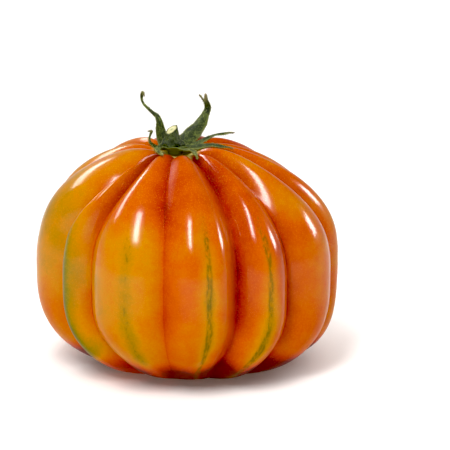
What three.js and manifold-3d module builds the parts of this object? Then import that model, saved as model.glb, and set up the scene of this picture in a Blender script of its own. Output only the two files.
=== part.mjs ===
// A ribbed beefsteak tomato as picked: the fluted fruit, the star of green sepals over its stem scar and the
// cut stub of its stem. Millimetres, +Z up, with -Y as the front. The fruit stands on the small flat spot at its
// blossom end, and the origin is on that plane, under the middle of the fruit's bounding box.
import * as THREE from "three";
import { mergeVertices } from "three/addons/utils/BufferGeometryUtils.js";
import Module from "manifold-3d";

const wasm = await Module();
wasm.setup();

// The fruit's overall form
const RADIUS = 45.6; // from the axis to the crest of a rib, where the fruit is widest
const TOP_HEIGHT = 36.1; // from the widest circle up to the shoulder
const BASE_HEIGHT = 32.7; // and down to the blossom end
const TOP_FULLNESS = 2.18; // exponent of the profile: 2 is an ellipse, and more is boxier
const BASE_FULLNESS = 3.15;
const HOLLOW_DEPTH = 5; // how far the stem end sinks below the shoulder
const HOLLOW_RADIUS = 9;
const BASE_TRIM = 0.5; // what the flat spot takes off the blossom end
const STEM_LEAN = -3.0; // how far the stem end stands off the axis, along X
const BLOSSOM_LEAN = 1.6; // the same at the blossom end
const LEAN_FROM = 0.2; // share of the height from the widest circle where the leaning begins
const OVALS = [
  // slow swellings of the girth: share of the radius, waves round the fruit, azimuth of a peak
  { share: 0.012, waves: 2, peak: 80 },
  { share: 0.008, waves: 3, peak: 20 },
];

// Ribs, each with the furrow before it. furrow is its azimuth in degrees, from the front towards +X, near the stem,
// at the middle and near the blossom end. depth is how far it lies in, and crease the width over which its bottom is
// rounded. drop is how far the rib's crest stays below the full radius in the same three zones, and dent the depth
// of the shallow groove along the crest.
const RIBS = [
  { furrow: [-100, -99, -98], depth: 5.4, crease: 2.0, drop: [0.8, -0.2, 0.2], dent: 0 },
  { furrow: [-40, -64, -59], depth: 7.0, crease: 1.6, drop: [1.4, 1.4, 0.6], dent: 0 },
  { furrow: [-34, -47, -31], depth: 6.8, crease: 1.8, drop: [1.4, 0, 2.8], dent: 0 },
  { furrow: [-7, -9, -9], depth: 3.8, crease: 1.5, drop: [1.8, 0.3, 3.0], dent: 1.3 },
  { furrow: [26, 22, 11], depth: 7.6, crease: 1.8, drop: [1.6, 1.2, 1.4], dent: 0 },
  { furrow: [49, 47.5, 34], depth: 6.4, crease: 1.8, drop: [-0.3, 0.3, 0.6], dent: 0 },
  { furrow: [72, 83, 66], depth: 6.6, crease: 2.0, drop: [0.6, 0.2, -0.8], dent: 0 },
  { furrow: [99, 105, 100], depth: 5.8, crease: 2.0, drop: [1.4, 0.9, 0.6], dent: 0 },
  { furrow: [122, 125, 121], depth: 6.2, crease: 1.6, drop: [0.1, 0, 0.6], dent: 0.5 },
  { furrow: [146, 145, 144], depth: 4.2, crease: 3.4, drop: [0.6, 0.6, 1.0], dent: 0 },
  { furrow: [168, 167, 168], depth: 6.8, crease: 1.8, drop: [0.2, 0.2, 0.4], dent: 0 },
  { furrow: [188, 190, 188], depth: 5.2, crease: 2.4, drop: [1.0, 1.0, 1.4], dent: 0 },
  { furrow: [210, 213, 214], depth: 6.6, crease: 1.8, drop: [0.3, 0, 0.4], dent: 0.7 },
  { furrow: [232, 236, 238], depth: 5.6, crease: 2.0, drop: [2.0, 0.7, 0.8], dent: 0 },
];
const TOP_ZONE = [20, 75]; // degrees from the stem end over which the stem's values give way to the middle's
const BASE_ZONE = [95, 150]; // and the middle's to the blossom end's
const RIB_ROUNDNESS = 0.5; // nearer 1 gives a fuller rib and a tighter furrow
const DENT_AT = 0.2; // where the groove lies, as a share of the way from the crest to the next furrow
const DENT_WIDTH = 0.22;
const DENT_ZONE = [45, 65]; // degrees from the stem end over which it deepens
const TOP_FADE = 0.5; // power of the radius by which ribs shrink towards the stem
const BASE_FADE = 4; // the same towards the blossom end

// Facets of the fruit
const RIB_STEPS = 8;
const ROWS = 36;
const ROW_CROWDING = 1.25; // more than 1 sets the rows closer together towards the stem end

// The green parts
const GAP = 0.3; // clearance between pieces that touch
const NECK_RADIUS = 2.2;
const RECEPTACLE = [
  // radius and height above the neck's foot, from the axis out and back to the axis
  [0, 0],
  [NECK_RADIUS, 0.5],
  [2.3, 1.3],
  [3.3, 2.1],
  [4.4, 2.7],
  [4.4, 3.1],
  [3.2, 3.3],
  [0, 3.3],
];
const RECEPTACLE_SIDES = 24;
const CALYX_OFFSET = -0.8; // how far the receptacle stands from the middle of the hollow, along X
const SEPAL_HEIGHT = 2.8; // height of the sepals' roots above the neck's foot
const SEPAL_THICKNESS = 0.7;
const SEPAL_STATIONS = 18;
const TIP_SHARE = 0.16; // width at the tip, as a share of the width at the root
const WAIST_SHARE = 0.75; // width where the blade leaves the receptacle, as a share of its full width
const WAIST_BY = 0.15; // share of the length over which it widens from there
const FOLD_BY = 0.3; // the same for its fold
const TWIST_BY = 0.22; // and for its turn
const TIP_THINNING = 0.86; // thickness at the tip, as a share of SEPAL_THICKNESS

// Sepals: azimuth in degrees, half the width at the root, power of the taper towards the tip, fold of the blade's
// edges, turn of the blade at root and tip, then the path of the midrib from the roots' plane as
// [reach, sideways, rise].
const SEPALS = [
  {
    azimuth: -135, half: 2.7, taper: 2.3, fold: 0.45, twist: [-45, -50],
    path: [[1.5, 0, 0], [4.6, 0, 0.3], [6.2, 0, 3.4], [6.8, 0, 6.4], [7.8, 0, 7.9], [9.9, 0, 8.8],
      [13.9, 0, 11.1], [14.4, 0, 12.8], [13.6, 0.3, 14.4], [12.5, 0.6, 13.2]],
  },
  {
    azimuth: -75, half: 2.0, taper: 1.1, fold: 0.5, twist: [0, -20],
    path: [[1.5, 0, 0], [4.2, 0, 0], [5.5, 0, 0.2], [7.4, 0, 1.5], [7.7, 0, 2.9], [7.1, 0, 4.2],
      [6.9, 0, 4.9], [8.4, 0, 4.8]],
  },
  {
    azimuth: -35, half: 1.4, taper: 0.9, fold: 0.4, twist: [0, 15],
    path: [[1.5, -0.6, 0], [4.4, -1.8, 0.1], [7.0, -1.2, 0.5], [9.4, 0.4, 0.6], [11.3, 2.2, 0.5], [12.6, 4.2, 0.3],
      [14.0, 5.8, 0.2]],
  },
  {
    azimuth: 30, half: 1.6, taper: 0.9, fold: 0.4, twist: [0, -15],
    path: [[1.5, 0, 0], [4.2, 0, 0], [6.5, 0, 0.2], [10.0, 0.2, 0.5], [13.0, -0.5, 0.4], [16.0, -1.6, 0.1],
      [18.2, -2.8, -0.5]],
  },
  {
    azimuth: 75, half: 2.4, taper: 0.9, fold: 0.45, twist: [0, 10],
    path: [[1.5, 0, 0], [4.4, 0, 0.1], [8.8, 0, 0.9], [12.2, 0, 1.1], [15.6, 0, 0.6], [18.1, 0, 0]],
  },
  {
    azimuth: 108, half: 2.3, taper: 0.9, fold: 0.45, twist: [0, -15],
    path: [[1.5, 0, 0], [4.4, 0, 0.2], [6.6, 0, 0.6], [10.1, 0, 2.0], [13.6, 0, 2.7], [17.0, 0, 2.9],
      [18.6, 0, 2.6]],
  },
  {
    azimuth: 138, half: 3.6, taper: 1.0, fold: 0.45, twist: [25, 30],
    path: [[1.5, 0, 0], [4.0, 0, 0.6], [5.8, 0, 2.0], [10.8, 0, 5.1], [13.7, 0, 8.1], [14.3, 0, 9.4],
      [13.5, 0, 11.7], [13.4, 0, 13.8]],
  },
  {
    azimuth: 165, half: 1.6, taper: 1.0, fold: 0.5, twist: [0, -25],
    path: [[1.5, 0, 0], [4.4, -0.4, 0.3], [9.0, -2.8, 2.3], [13.8, -5.0, 5.9], [14.4, -5.5, 8.9],
      [14.3, -5.2, 10.6], [13.4, -3.6, 13.0]],
  },
];

// The stem's stub: rings of [radius, height, lean along -X], the last one cut on the slant
const STEM_OFFSET = -1.6; // how far the stub stands from the middle of the receptacle, along X
const STEM_RINGS = [[2.7, 0, 0], [2.4, 1.0, 0.1], [2.1, 2.2, 0.1], [1.7, 4.0, 0.2]];
const STEM_SIDES = 20;
const STEM_CUT = 36; // slant of the cut face in degrees
const STEM_CUT_FACES = -50; // azimuth that it looks towards

const SKIN = new THREE.MeshStandardMaterial({ color: 0xe0700f, roughness: 0.25, metalness: 0 });
const LEAF = new THREE.MeshStandardMaterial({ color: 0x4a5f26, roughness: 0.8, metalness: 0 });
const BARK = new THREE.MeshStandardMaterial({ color: 0x3f5420, roughness: 0.75, metalness: 0 });

const rad = THREE.MathUtils.degToRad;
const { lerp, smoothstep } = THREE.MathUtils;

// Point [radius, height] of the crest's profile, in a plane through the axis, at an angle from the stem end.
function profile(angle) {
  const above = angle < Math.PI / 2;
  const power = 2 / (above ? TOP_FULLNESS : BASE_FULLNESS);
  const radius = RADIUS * Math.max(Math.sin(angle), 0) ** power;
  const cosine = Math.cos(angle);
  const hollow = above ? HOLLOW_DEPTH * Math.exp(-((radius / HOLLOW_RADIUS) ** 2)) : 0;
  const height = above ? TOP_HEIGHT : BASE_HEIGHT;
  return [radius, height * Math.sign(cosine) * Math.abs(cosine) ** power - hollow];
}

// Outward normal of the profile at an angle, by a small step to each side.
function profileNormal(angle) {
  const step = 1e-3;
  const [r0, z0] = profile(Math.max(angle - step, 0));
  const [r1, z1] = profile(Math.min(angle + step, Math.PI));
  const length = Math.hypot(r1 - r0, z1 - z0);
  return [(z0 - z1) / length, (r1 - r0) / length];
}

// Blend of a rib's values for the stem end, the middle and the blossom end, at an angle from the stem end.
function zoned([top, middle, base], angle) {
  const topShare = 1 - smoothstep(angle, ...TOP_ZONE.map(rad));
  const baseShare = smoothstep(angle, ...BASE_ZONE.map(rad));
  return top * topShare + middle * (1 - topShare - baseShare) + base * baseShare;
}

// How far in from the crest's surface the skin lies, at a share of the way across a rib, from -1 to 1.
function ribDepth(index, across, angle) {
  const rib = RIBS[index];
  const next = RIBS[(index + 1) % RIBS.length];
  const nearer = across < 0 ? rib : next;
  const turn = (next.furrow[1] - rib.furrow[1] + 360) % 360;
  const halfWidth = (RADIUS * rad(turn)) / 2;
  const fromFurrow = (1 - Math.abs(across)) * halfWidth;
  const eased = (fromFurrow ** 2 / (fromFurrow + nearer.crease)) * ((halfWidth + nearer.crease) / halfWidth);
  const side = 1 - eased / halfWidth;
  const arch = (1 - Math.sqrt(1 - RIB_ROUNDNESS * side * side)) / (1 - Math.sqrt(1 - RIB_ROUNDNESS));
  const dent = rib.dent * smoothstep(angle, ...DENT_ZONE.map(rad));
  const drop = zoned(rib.drop, angle) + dent * Math.exp(-(((across - DENT_AT) / DENT_WIDTH) ** 2));
  return lerp(drop, nearer.depth, arch);
}

// Point of the skin on a rib, at a share of the way across it and an angle from the stem end.
function skinPoint(index, across, angle) {
  const start = zoned(RIBS[index].furrow, angle);
  const turn = (zoned(RIBS[(index + 1) % RIBS.length].furrow, angle) - start + 360) % 360;
  const azimuth = rad(start + (turn * (across + 1)) / 2);
  const [radius, height] = profile(angle);
  const [outward, upward] = profileNormal(angle);
  const fade = (radius / RADIUS) ** (angle < Math.PI / 2 ? TOP_FADE : BASE_FADE);
  const inward = ribDepth(index, across, angle) * fade;
  const girth = OVALS.reduce((sum, o) => sum + o.share * Math.cos(o.waves * azimuth - rad(o.peak)), 1);
  const out = (radius - inward * outward) * girth;
  const z = height - inward * upward;
  const rise = z / TOP_HEIGHT;
  const lean = rise > 0 ? STEM_LEAN * smoothstep(rise, LEAN_FROM, 1) : BLOSSOM_LEAN * smoothstep(-rise, LEAN_FROM, 1);
  const floor = BASE_TRIM - BASE_HEIGHT;
  return new THREE.Vector3(
    out * Math.sin(azimuth) + lean,
    -out * Math.cos(azimuth),
    Math.max(z, floor) - floor,
  );
}

// A closed surface from rows of points, each a ring anticlockwise from above, given from the top down. The first
// and last rings are closed to a point in their middle, or to the point given for them.
function loftedGeometry(rings, topPoint, basePoint) {
  const sides = rings[0].length;
  const middle = (ring) => ring.reduce((sum, p) => sum.add(p), new THREE.Vector3()).divideScalar(sides);
  const points = [topPoint ?? middle(rings[0]), ...rings.flat(), basePoint ?? middle(rings.at(-1))];
  const last = points.length - 1;
  const index = [];
  for (let side = 0; side < sides; side++) {
    const next = (side + 1) % sides;
    index.push(0, 1 + side, 1 + next);
    for (let row = 0; row < rings.length - 1; row++) {
      const a = 1 + row * sides + side;
      const b = 1 + row * sides + next;
      index.push(a, a + sides, b, b, a + sides, b + sides);
    }
    index.push(last, last - sides + next, last - sides + side);
  }
  const geometry = new THREE.BufferGeometry().setFromPoints(points);
  geometry.setIndex(index);
  geometry.computeVertexNormals();
  return geometry;
}

function fruitGeometry() {
  const rings = [];
  for (let row = 1; row < ROWS; row++) {
    const ring = [];
    for (let rib = 0; rib < RIBS.length; rib++)
      for (let step = 0; step < RIB_STEPS; step++) {
        const across = Math.sin((Math.PI / 2) * ((2 * step) / RIB_STEPS - 1));
        ring.push(skinPoint(rib, across, Math.PI * (row / ROWS) ** ROW_CROWDING));
      }
    rings.push(ring);
  }
  return loftedGeometry(rings, skinPoint(0, 0, 0), skinPoint(0, 0, Math.PI));
}

// One sepal as a thin folded blade along its midrib, from inside the receptacle to a narrow tip.
function sepalGeometry({ azimuth, half, taper, fold, twist, path }) {
  const out = new THREE.Vector3(Math.sin(rad(azimuth)), -Math.cos(rad(azimuth)), 0);
  const aside = new THREE.Vector3(Math.cos(rad(azimuth)), Math.sin(rad(azimuth)), 0);
  const up = new THREE.Vector3(0, 0, 1);
  const place = ([reach, sideways, rise]) =>
    up.clone().multiplyScalar(rise).addScaledVector(out, reach).addScaledVector(aside, sideways);
  const midrib = new THREE.CatmullRomCurve3(path.map(place), false, "centripetal");
  const rings = [];
  for (let station = 0; station <= SEPAL_STATIONS; station++) {
    const along = station / SEPAL_STATIONS;
    const point = midrib.getPointAt(along);
    const tangent = midrib.getTangentAt(along);
    const across = aside.clone().addScaledVector(tangent, -aside.dot(tangent)).normalize();
    across.applyAxisAngle(tangent, rad(lerp(...twist, along)) * smoothstep(along, 0, TWIST_BY));
    const face = new THREE.Vector3().crossVectors(across, tangent).normalize();
    const waist = lerp(WAIST_SHARE, 1, smoothstep(along, 0, WAIST_BY));
    const width = half * lerp(TIP_SHARE, 1, (1 - along) ** taper) * waist;
    const raise = fold * smoothstep(along, 0, FOLD_BY) * width;
    const thick = SEPAL_THICKNESS * lerp(1, TIP_THINNING, along);
    const corner = (share, side) =>
      point
        .clone()
        .addScaledVector(across, share * width)
        .addScaledVector(face, raise * Math.abs(share) + (side * thick) / 2);
    const shares = [-1, -0.5, 0, 0.5, 1];
    rings.push([...shares.map((s) => corner(s, -1)), ...shares.toReversed().map((s) => corner(s, 1))]);
  }
  return loftedGeometry(rings);
}

function stemGeometry() {
  const facing = rad(STEM_CUT_FACES);
  const rings = STEM_RINGS.map(([radius, height, lean], row) => {
    const ring = [];
    const slant = row === STEM_RINGS.length - 1 ? Math.tan(rad(STEM_CUT)) : 0;
    for (let side = 0; side < STEM_SIDES; side++) {
      const angle = (2 * Math.PI * side) / STEM_SIDES;
      const x = radius * Math.cos(angle);
      const y = radius * Math.sin(angle);
      ring.push(new THREE.Vector3(x - lean, y, height - slant * (x * Math.sin(facing) - y * Math.cos(facing))));
    }
    return ring;
  });
  return loftedGeometry(rings.reverse());
}

function solidOf(geometry) {
  const bare = new THREE.BufferGeometry();
  bare.setAttribute("position", geometry.getAttribute("position"));
  bare.setIndex(geometry.getIndex());
  const merged = mergeVertices(bare, 1e-4);
  return new wasm.Manifold(
    new wasm.Mesh({
      numProp: 3,
      vertProperties: merged.getAttribute("position").array,
      triVerts: new Uint32Array(merged.getIndex().array),
    }),
  );
}

function geometryOf(solid) {
  const { vertProperties, triVerts } = solid.getMesh();
  const geometry = new THREE.BufferGeometry();
  geometry.setAttribute("position", new THREE.BufferAttribute(vertProperties, 3));
  geometry.setIndex(new THREE.BufferAttribute(triVerts, 1));
  geometry.computeVertexNormals();
  return geometry;
}

// The receptacle with the roots of all its sepals sunk into it.
function calyxGeometry() {
  const outline = RECEPTACLE.map(([radius, height]) => new THREE.Vector2(radius, height - SEPAL_HEIGHT));
  const receptacle = new THREE.LatheGeometry(outline, RECEPTACLE_SIDES);
  receptacle.rotateX(Math.PI / 2);
  const joined = SEPALS.reduce((sum, sepal) => sum.add(solidOf(sepalGeometry(sepal))), solidOf(receptacle));
  return geometryOf(joined);
}

const fruit = new THREE.Mesh(fruitGeometry(), SKIN);
fruit.name = "fruit";

const calyx = new THREE.Mesh(calyxGeometry(), LEAF);
calyx.name = "calyx";

const stem = new THREE.Mesh(stemGeometry(), BARK);
stem.name = "stem";

// The green parts stand on the floor of the hollow, and the whole is centred on the fruit's bounding box.
const footDepth = HOLLOW_DEPTH * Math.exp(-((NECK_RADIUS / HOLLOW_RADIUS) ** 2));
const footHeight = BASE_HEIGHT - BASE_TRIM + TOP_HEIGHT - footDepth - RECEPTACLE[1][1] + GAP;
const calyxAt = STEM_LEAN + CALYX_OFFSET;
calyx.position.set(calyxAt, 0, footHeight + SEPAL_HEIGHT);
stem.position.set(calyxAt + STEM_OFFSET, 0, footHeight + RECEPTACLE.at(-1)[1] + GAP);

const tomato = new THREE.Group();
tomato.add(fruit, calyx, stem);
fruit.geometry.computeBoundingBox();
const centre = fruit.geometry.boundingBox.getCenter(new THREE.Vector3());
for (const piece of tomato.children) {
  piece.position.x -= centre.x;
  piece.position.y -= centre.y;
}

export default tomato;
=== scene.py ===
"""A ribbed beefsteak tomato as picked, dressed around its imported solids.

The skin repeats the solid fruit's formula at a finer pitch, the sepals repeat the solid sepals' midribs, and
the stub is drawn over the solid stub. Sizes are in millimetres, angles in degrees, and azimuths run from the
front, -Y, towards +X. MM turns millimetres into the scene's metres when a mesh is made.
"""

import logging
import math
from dataclasses import dataclass, field
from enum import Enum
from typing import Any

import bmesh
import bpy
import numpy as np
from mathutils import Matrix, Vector

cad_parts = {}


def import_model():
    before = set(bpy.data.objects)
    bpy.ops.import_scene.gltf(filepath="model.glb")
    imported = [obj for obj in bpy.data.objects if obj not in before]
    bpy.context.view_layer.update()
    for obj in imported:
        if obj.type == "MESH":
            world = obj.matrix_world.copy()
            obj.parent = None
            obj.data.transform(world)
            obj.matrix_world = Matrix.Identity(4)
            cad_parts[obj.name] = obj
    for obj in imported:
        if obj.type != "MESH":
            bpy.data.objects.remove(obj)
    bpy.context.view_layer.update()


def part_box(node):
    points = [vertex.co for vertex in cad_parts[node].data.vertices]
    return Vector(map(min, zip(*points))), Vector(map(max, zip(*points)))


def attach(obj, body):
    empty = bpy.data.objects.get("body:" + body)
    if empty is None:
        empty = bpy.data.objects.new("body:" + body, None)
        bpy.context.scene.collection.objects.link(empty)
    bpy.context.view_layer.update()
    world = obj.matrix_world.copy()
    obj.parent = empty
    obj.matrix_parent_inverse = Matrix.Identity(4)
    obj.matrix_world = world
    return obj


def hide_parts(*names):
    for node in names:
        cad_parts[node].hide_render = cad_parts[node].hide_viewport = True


log = logging.getLogger("tomato")

MM = 0.001
BODY = "root"
GAP = 0.3  # clearance that the solids keep where they touch
PHOTO_SIDE = 450  # the photograph is square, this many pixels a side

Array = np.ndarray
Face = tuple[int, ...]
Socket = Any


class Layer(Enum):
    """Names of the fields that the skin carries for its finish."""

    RIPENESS = "ripeness"
    GLOSS = "gloss"
    STREAK = "streak"
    LINE = "from_line_mm"
    POLE = "from_stem_mm"


class LeafLayer(Enum):
    """Names of the fields that the green parts carry for their finishes."""

    ALONG = "along"
    EDGE = "edge"


def linear(hex_colour: str) -> tuple[float, float, float, float]:
    """Turns an sRGB hex colour into linear light.

    Args:
        hex_colour: Colour such as "#e0700f".

    Returns:
        Red, green, blue and an alpha of 1, in linear light.
    """
    shares = [int(hex_colour[i : i + 2], 16) / 255 for i in (1, 3, 5)]
    lit = [s / 12.92 if s <= 0.04045 else ((s + 0.055) / 1.055) ** 2.4 for s in shares]
    return (*lit, 1.0)


def smooth(value: Array | float, low: float, high: float) -> Array | float:
    """Eases from 0 at low to 1 at high."""
    share = np.clip((value - low) / (high - low), 0, 1)
    return share * share * (3 - 2 * share)


def unit(vectors: Array) -> Array:
    """Scales each row to a length of one."""
    return vectors / np.linalg.norm(vectors, axis=-1, keepdims=True)


def link(tree: bpy.types.NodeTree, node: bpy.types.Node, links: dict[str | int, Socket]) -> None:
    """Feeds output sockets into a node's inputs, by the name or place of each input."""
    for name, socket in links.items():
        tree.links.new(socket, node.inputs[name])


def add_node(
    tree: bpy.types.NodeTree,
    kind: str,
    settings: dict[str | int, Any] | None = None,
    links: dict[str | int, Socket] | None = None,
) -> bpy.types.Node:
    """Adds a node with its settings and what is linked into it.

    Args:
        tree: Node tree that takes the node.
        kind: The node's type, without the ShaderNode in front.
        settings: Attributes of the node, or values of the inputs of that name or place.
        links: Output sockets, by the name or place of the input that each one feeds.

    Returns:
        The new node.
    """
    node = tree.nodes.new("ShaderNode" + kind)
    for name, value in (settings or {}).items():
        if isinstance(name, str) and hasattr(node, name):
            setattr(node, name, value)
        else:
            node.inputs[name].default_value = value
    link(tree, node, links or {})
    return node


def new_material(
    name: str, settings: dict[str, Any]
) -> tuple[bpy.types.Material, bpy.types.NodeTree, bpy.types.Node]:
    """Makes a material with one Principled shader on its output.

    Args:
        name: The material's name.
        settings: Values of the shader's inputs.

    Returns:
        The material, its node tree and the shader.
    """
    material = bpy.data.materials.new(name)
    material.use_nodes = True
    tree = material.node_tree
    tree.nodes.clear()
    shader = add_node(tree, "BsdfPrincipled", settings)
    add_node(tree, "OutputMaterial", links={"Surface": shader.outputs["BSDF"]})
    return material, tree, shader


def put_stops(ramp: bpy.types.Node, stops: dict[float, str]) -> Socket:
    """Gives a colour ramp its stops.

    Args:
        ramp: The ramp's node.
        stops: sRGB hex colours by their place from 0 to 1.

    Returns:
        The ramp's colour socket.
    """
    elements = ramp.color_ramp.elements
    while len(elements) < len(stops):
        elements.new(0.5)
    for element, (place, colour) in zip(elements, sorted(stops.items())):
        element.position = place
        element.color = linear(colour)
    return ramp.outputs["Color"]


def new_piece(
    name: str, points: Array, faces: list[Face], material: bpy.types.Material
) -> bpy.types.Object:
    """Makes a smooth-shaded mesh object in the scene.

    Args:
        name: The object's name.
        points: Vertices in millimetres, one row each.
        faces: Vertex numbers of each face.
        material: The finish of the whole mesh.

    Returns:
        The new object.
    """
    mesh = bpy.data.meshes.new(name)
    mesh.from_pydata((np.asarray(points) * MM).tolist(), [], faces)
    mesh.shade_smooth()
    mesh.materials.append(material)
    piece = bpy.data.objects.new(name, mesh)
    bpy.context.scene.collection.objects.link(piece)
    return piece


def put_field(piece: bpy.types.Object, layer: Layer | LeafLayer, values: Array) -> None:
    """Stores one number for each vertex of a piece, for its material to read."""
    attribute = piece.data.attributes.new(layer.value, "FLOAT", "POINT")
    attribute.data.foreach_set("value", np.ascontiguousarray(values, np.float32).ravel())


def lofted_faces(rows: int, sides: int) -> list[Face]:
    """Lists the faces of a closed loft: a first pole, rows of sides points from the top down, a last pole.

    Args:
        rows: Number of rings.
        sides: Points in each ring, anticlockwise from above.

    Returns:
        Quads between the rings and triangles at the poles, facing out.
    """
    last = rows * sides + 1
    faces: list[Face] = []
    for side in range(sides):
        nxt = (side + 1) % sides
        faces.append((0, 1 + side, 1 + nxt))
        for row in range(rows - 1):
            a, b = 1 + row * sides + side, 1 + row * sides + nxt
            faces.append((a, a + sides, b + sides, b))
        faces.append((last, last - sides + nxt, last - sides + side))
    return faces


def blended(at: Array, low: float, high: float, first: Array, second: Array) -> Array:
    """Goes from the first point to the second as at runs from low to high."""
    return ((high - at) * first + (at - low) * second) / (high - low)


def smooth_path(stops: Array, count: int) -> Array:
    """Runs a centripetal Catmull-Rom curve through some stops and cuts it into even steps.

    Args:
        stops: Points that the curve passes through, one row each.
        count: How many points to return.

    Returns:
        Points along the curve, evenly spaced.
    """
    fine = 24  # points between two stops, before the even cut
    ends = np.concatenate([[2 * stops[0] - stops[1]], stops, [2 * stops[-1] - stops[-2]]])
    dense = []
    for first in range(len(stops) - 1):
        near = ends[first : first + 4]
        a, b, c, d = near
        steps = np.linalg.norm(np.diff(near, axis=0), axis=1) ** 0.5
        t0, t1, t2, t3 = np.concatenate([[0], np.cumsum(steps)])
        at = np.linspace(t1, t2, fine, endpoint=False)[:, None]
        ab, bc, cd = blended(at, t0, t1, a, b), blended(at, t1, t2, b, c), blended(at, t2, t3, c, d)
        abc, bcd = blended(at, t0, t2, ab, bc), blended(at, t1, t3, bc, cd)
        dense.append(blended(at, t1, t2, abc, bcd))
    run = np.concatenate([*dense, stops[-1:]])
    length = np.concatenate([[0], np.cumsum(np.linalg.norm(np.diff(run, axis=0), axis=1))])
    even = np.linspace(0, length[-1], count)
    return np.stack([np.interp(even, length, run[:, axis]) for axis in range(3)], axis=1)


def dress(piece: bpy.types.Object, slot: str, *nodes: str) -> bpy.types.Object:
    """Ties a piece to the frame.

    Args:
        piece: The piece, in its place.
        slot: The record's material slot that it would take its finish from; not used.
        nodes: Solids that it stands for.

    Returns:
        The same piece.
    """
    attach(piece, BODY)
    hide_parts(*nodes)
    log.info("%s: %d vertices, %d faces", piece.name, len(piece.data.vertices), len(piece.data.polygons))
    return piece


@dataclass
class MeshParts:
    """Several surfaces gathered into one mesh, each with its own material and its vertices' fields.

    Attributes:
        points: Vertices of each surface, in millimetres.
        faces: Vertex numbers of each surface's faces, counted over the whole mesh.
        slots: The material's place in the list, for each face.
        fields: The leaf fields of each surface's vertices.
    """

    points: list[Array] = field(default_factory=list)
    faces: list[Face] = field(default_factory=list)
    slots: list[int] = field(default_factory=list)
    fields: dict[LeafLayer, list[Array]] = field(default_factory=lambda: {layer: [] for layer in LeafLayer})

    def add(
        self,
        points: Array,
        faces: list[Face],
        slot: int,
        along: Array | None = None,
        edge: Array | None = None,
    ) -> None:
        """Adds one surface.

        Args:
            points: Its vertices in millimetres.
            faces: Its faces, counted from its own first vertex.
            slot: Place of its material in the list.
            along: How far along its leaf each vertex is, from 0 at the root to 1 at the tip. 0 if left out.
            edge: How near the blade's edge each vertex is, from 0 to 1. 0 if left out.
        """
        start = sum(len(group) for group in self.points)
        self.points.append(points)
        self.faces += [tuple(start + number for number in face) for face in faces]
        self.slots += [slot] * len(faces)
        for layer, values in ((LeafLayer.ALONG, along), (LeafLayer.EDGE, edge)):
            self.fields[layer].append(np.zeros(len(points)) if values is None else values)

    def piece(self, name: str, materials: list[bpy.types.Material]) -> bpy.types.Object:
        """Makes the mesh object, with every surface facing out.

        Args:
            name: The object's name.
            materials: The finishes, in the order that the slots count them.

        Returns:
            The new object.
        """
        piece = new_piece(name, np.concatenate(self.points), self.faces, materials[0])
        for material in materials[1:]:
            piece.data.materials.append(material)
        piece.data.polygons.foreach_set("material_index", self.slots)
        shape = bmesh.new()
        shape.from_mesh(piece.data)
        bmesh.ops.recalc_face_normals(shape, faces=shape.faces)
        shape.to_mesh(piece.data)
        shape.free()
        for layer, groups in self.fields.items():
            put_field(piece, layer, np.concatenate(groups))
        return piece


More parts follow.
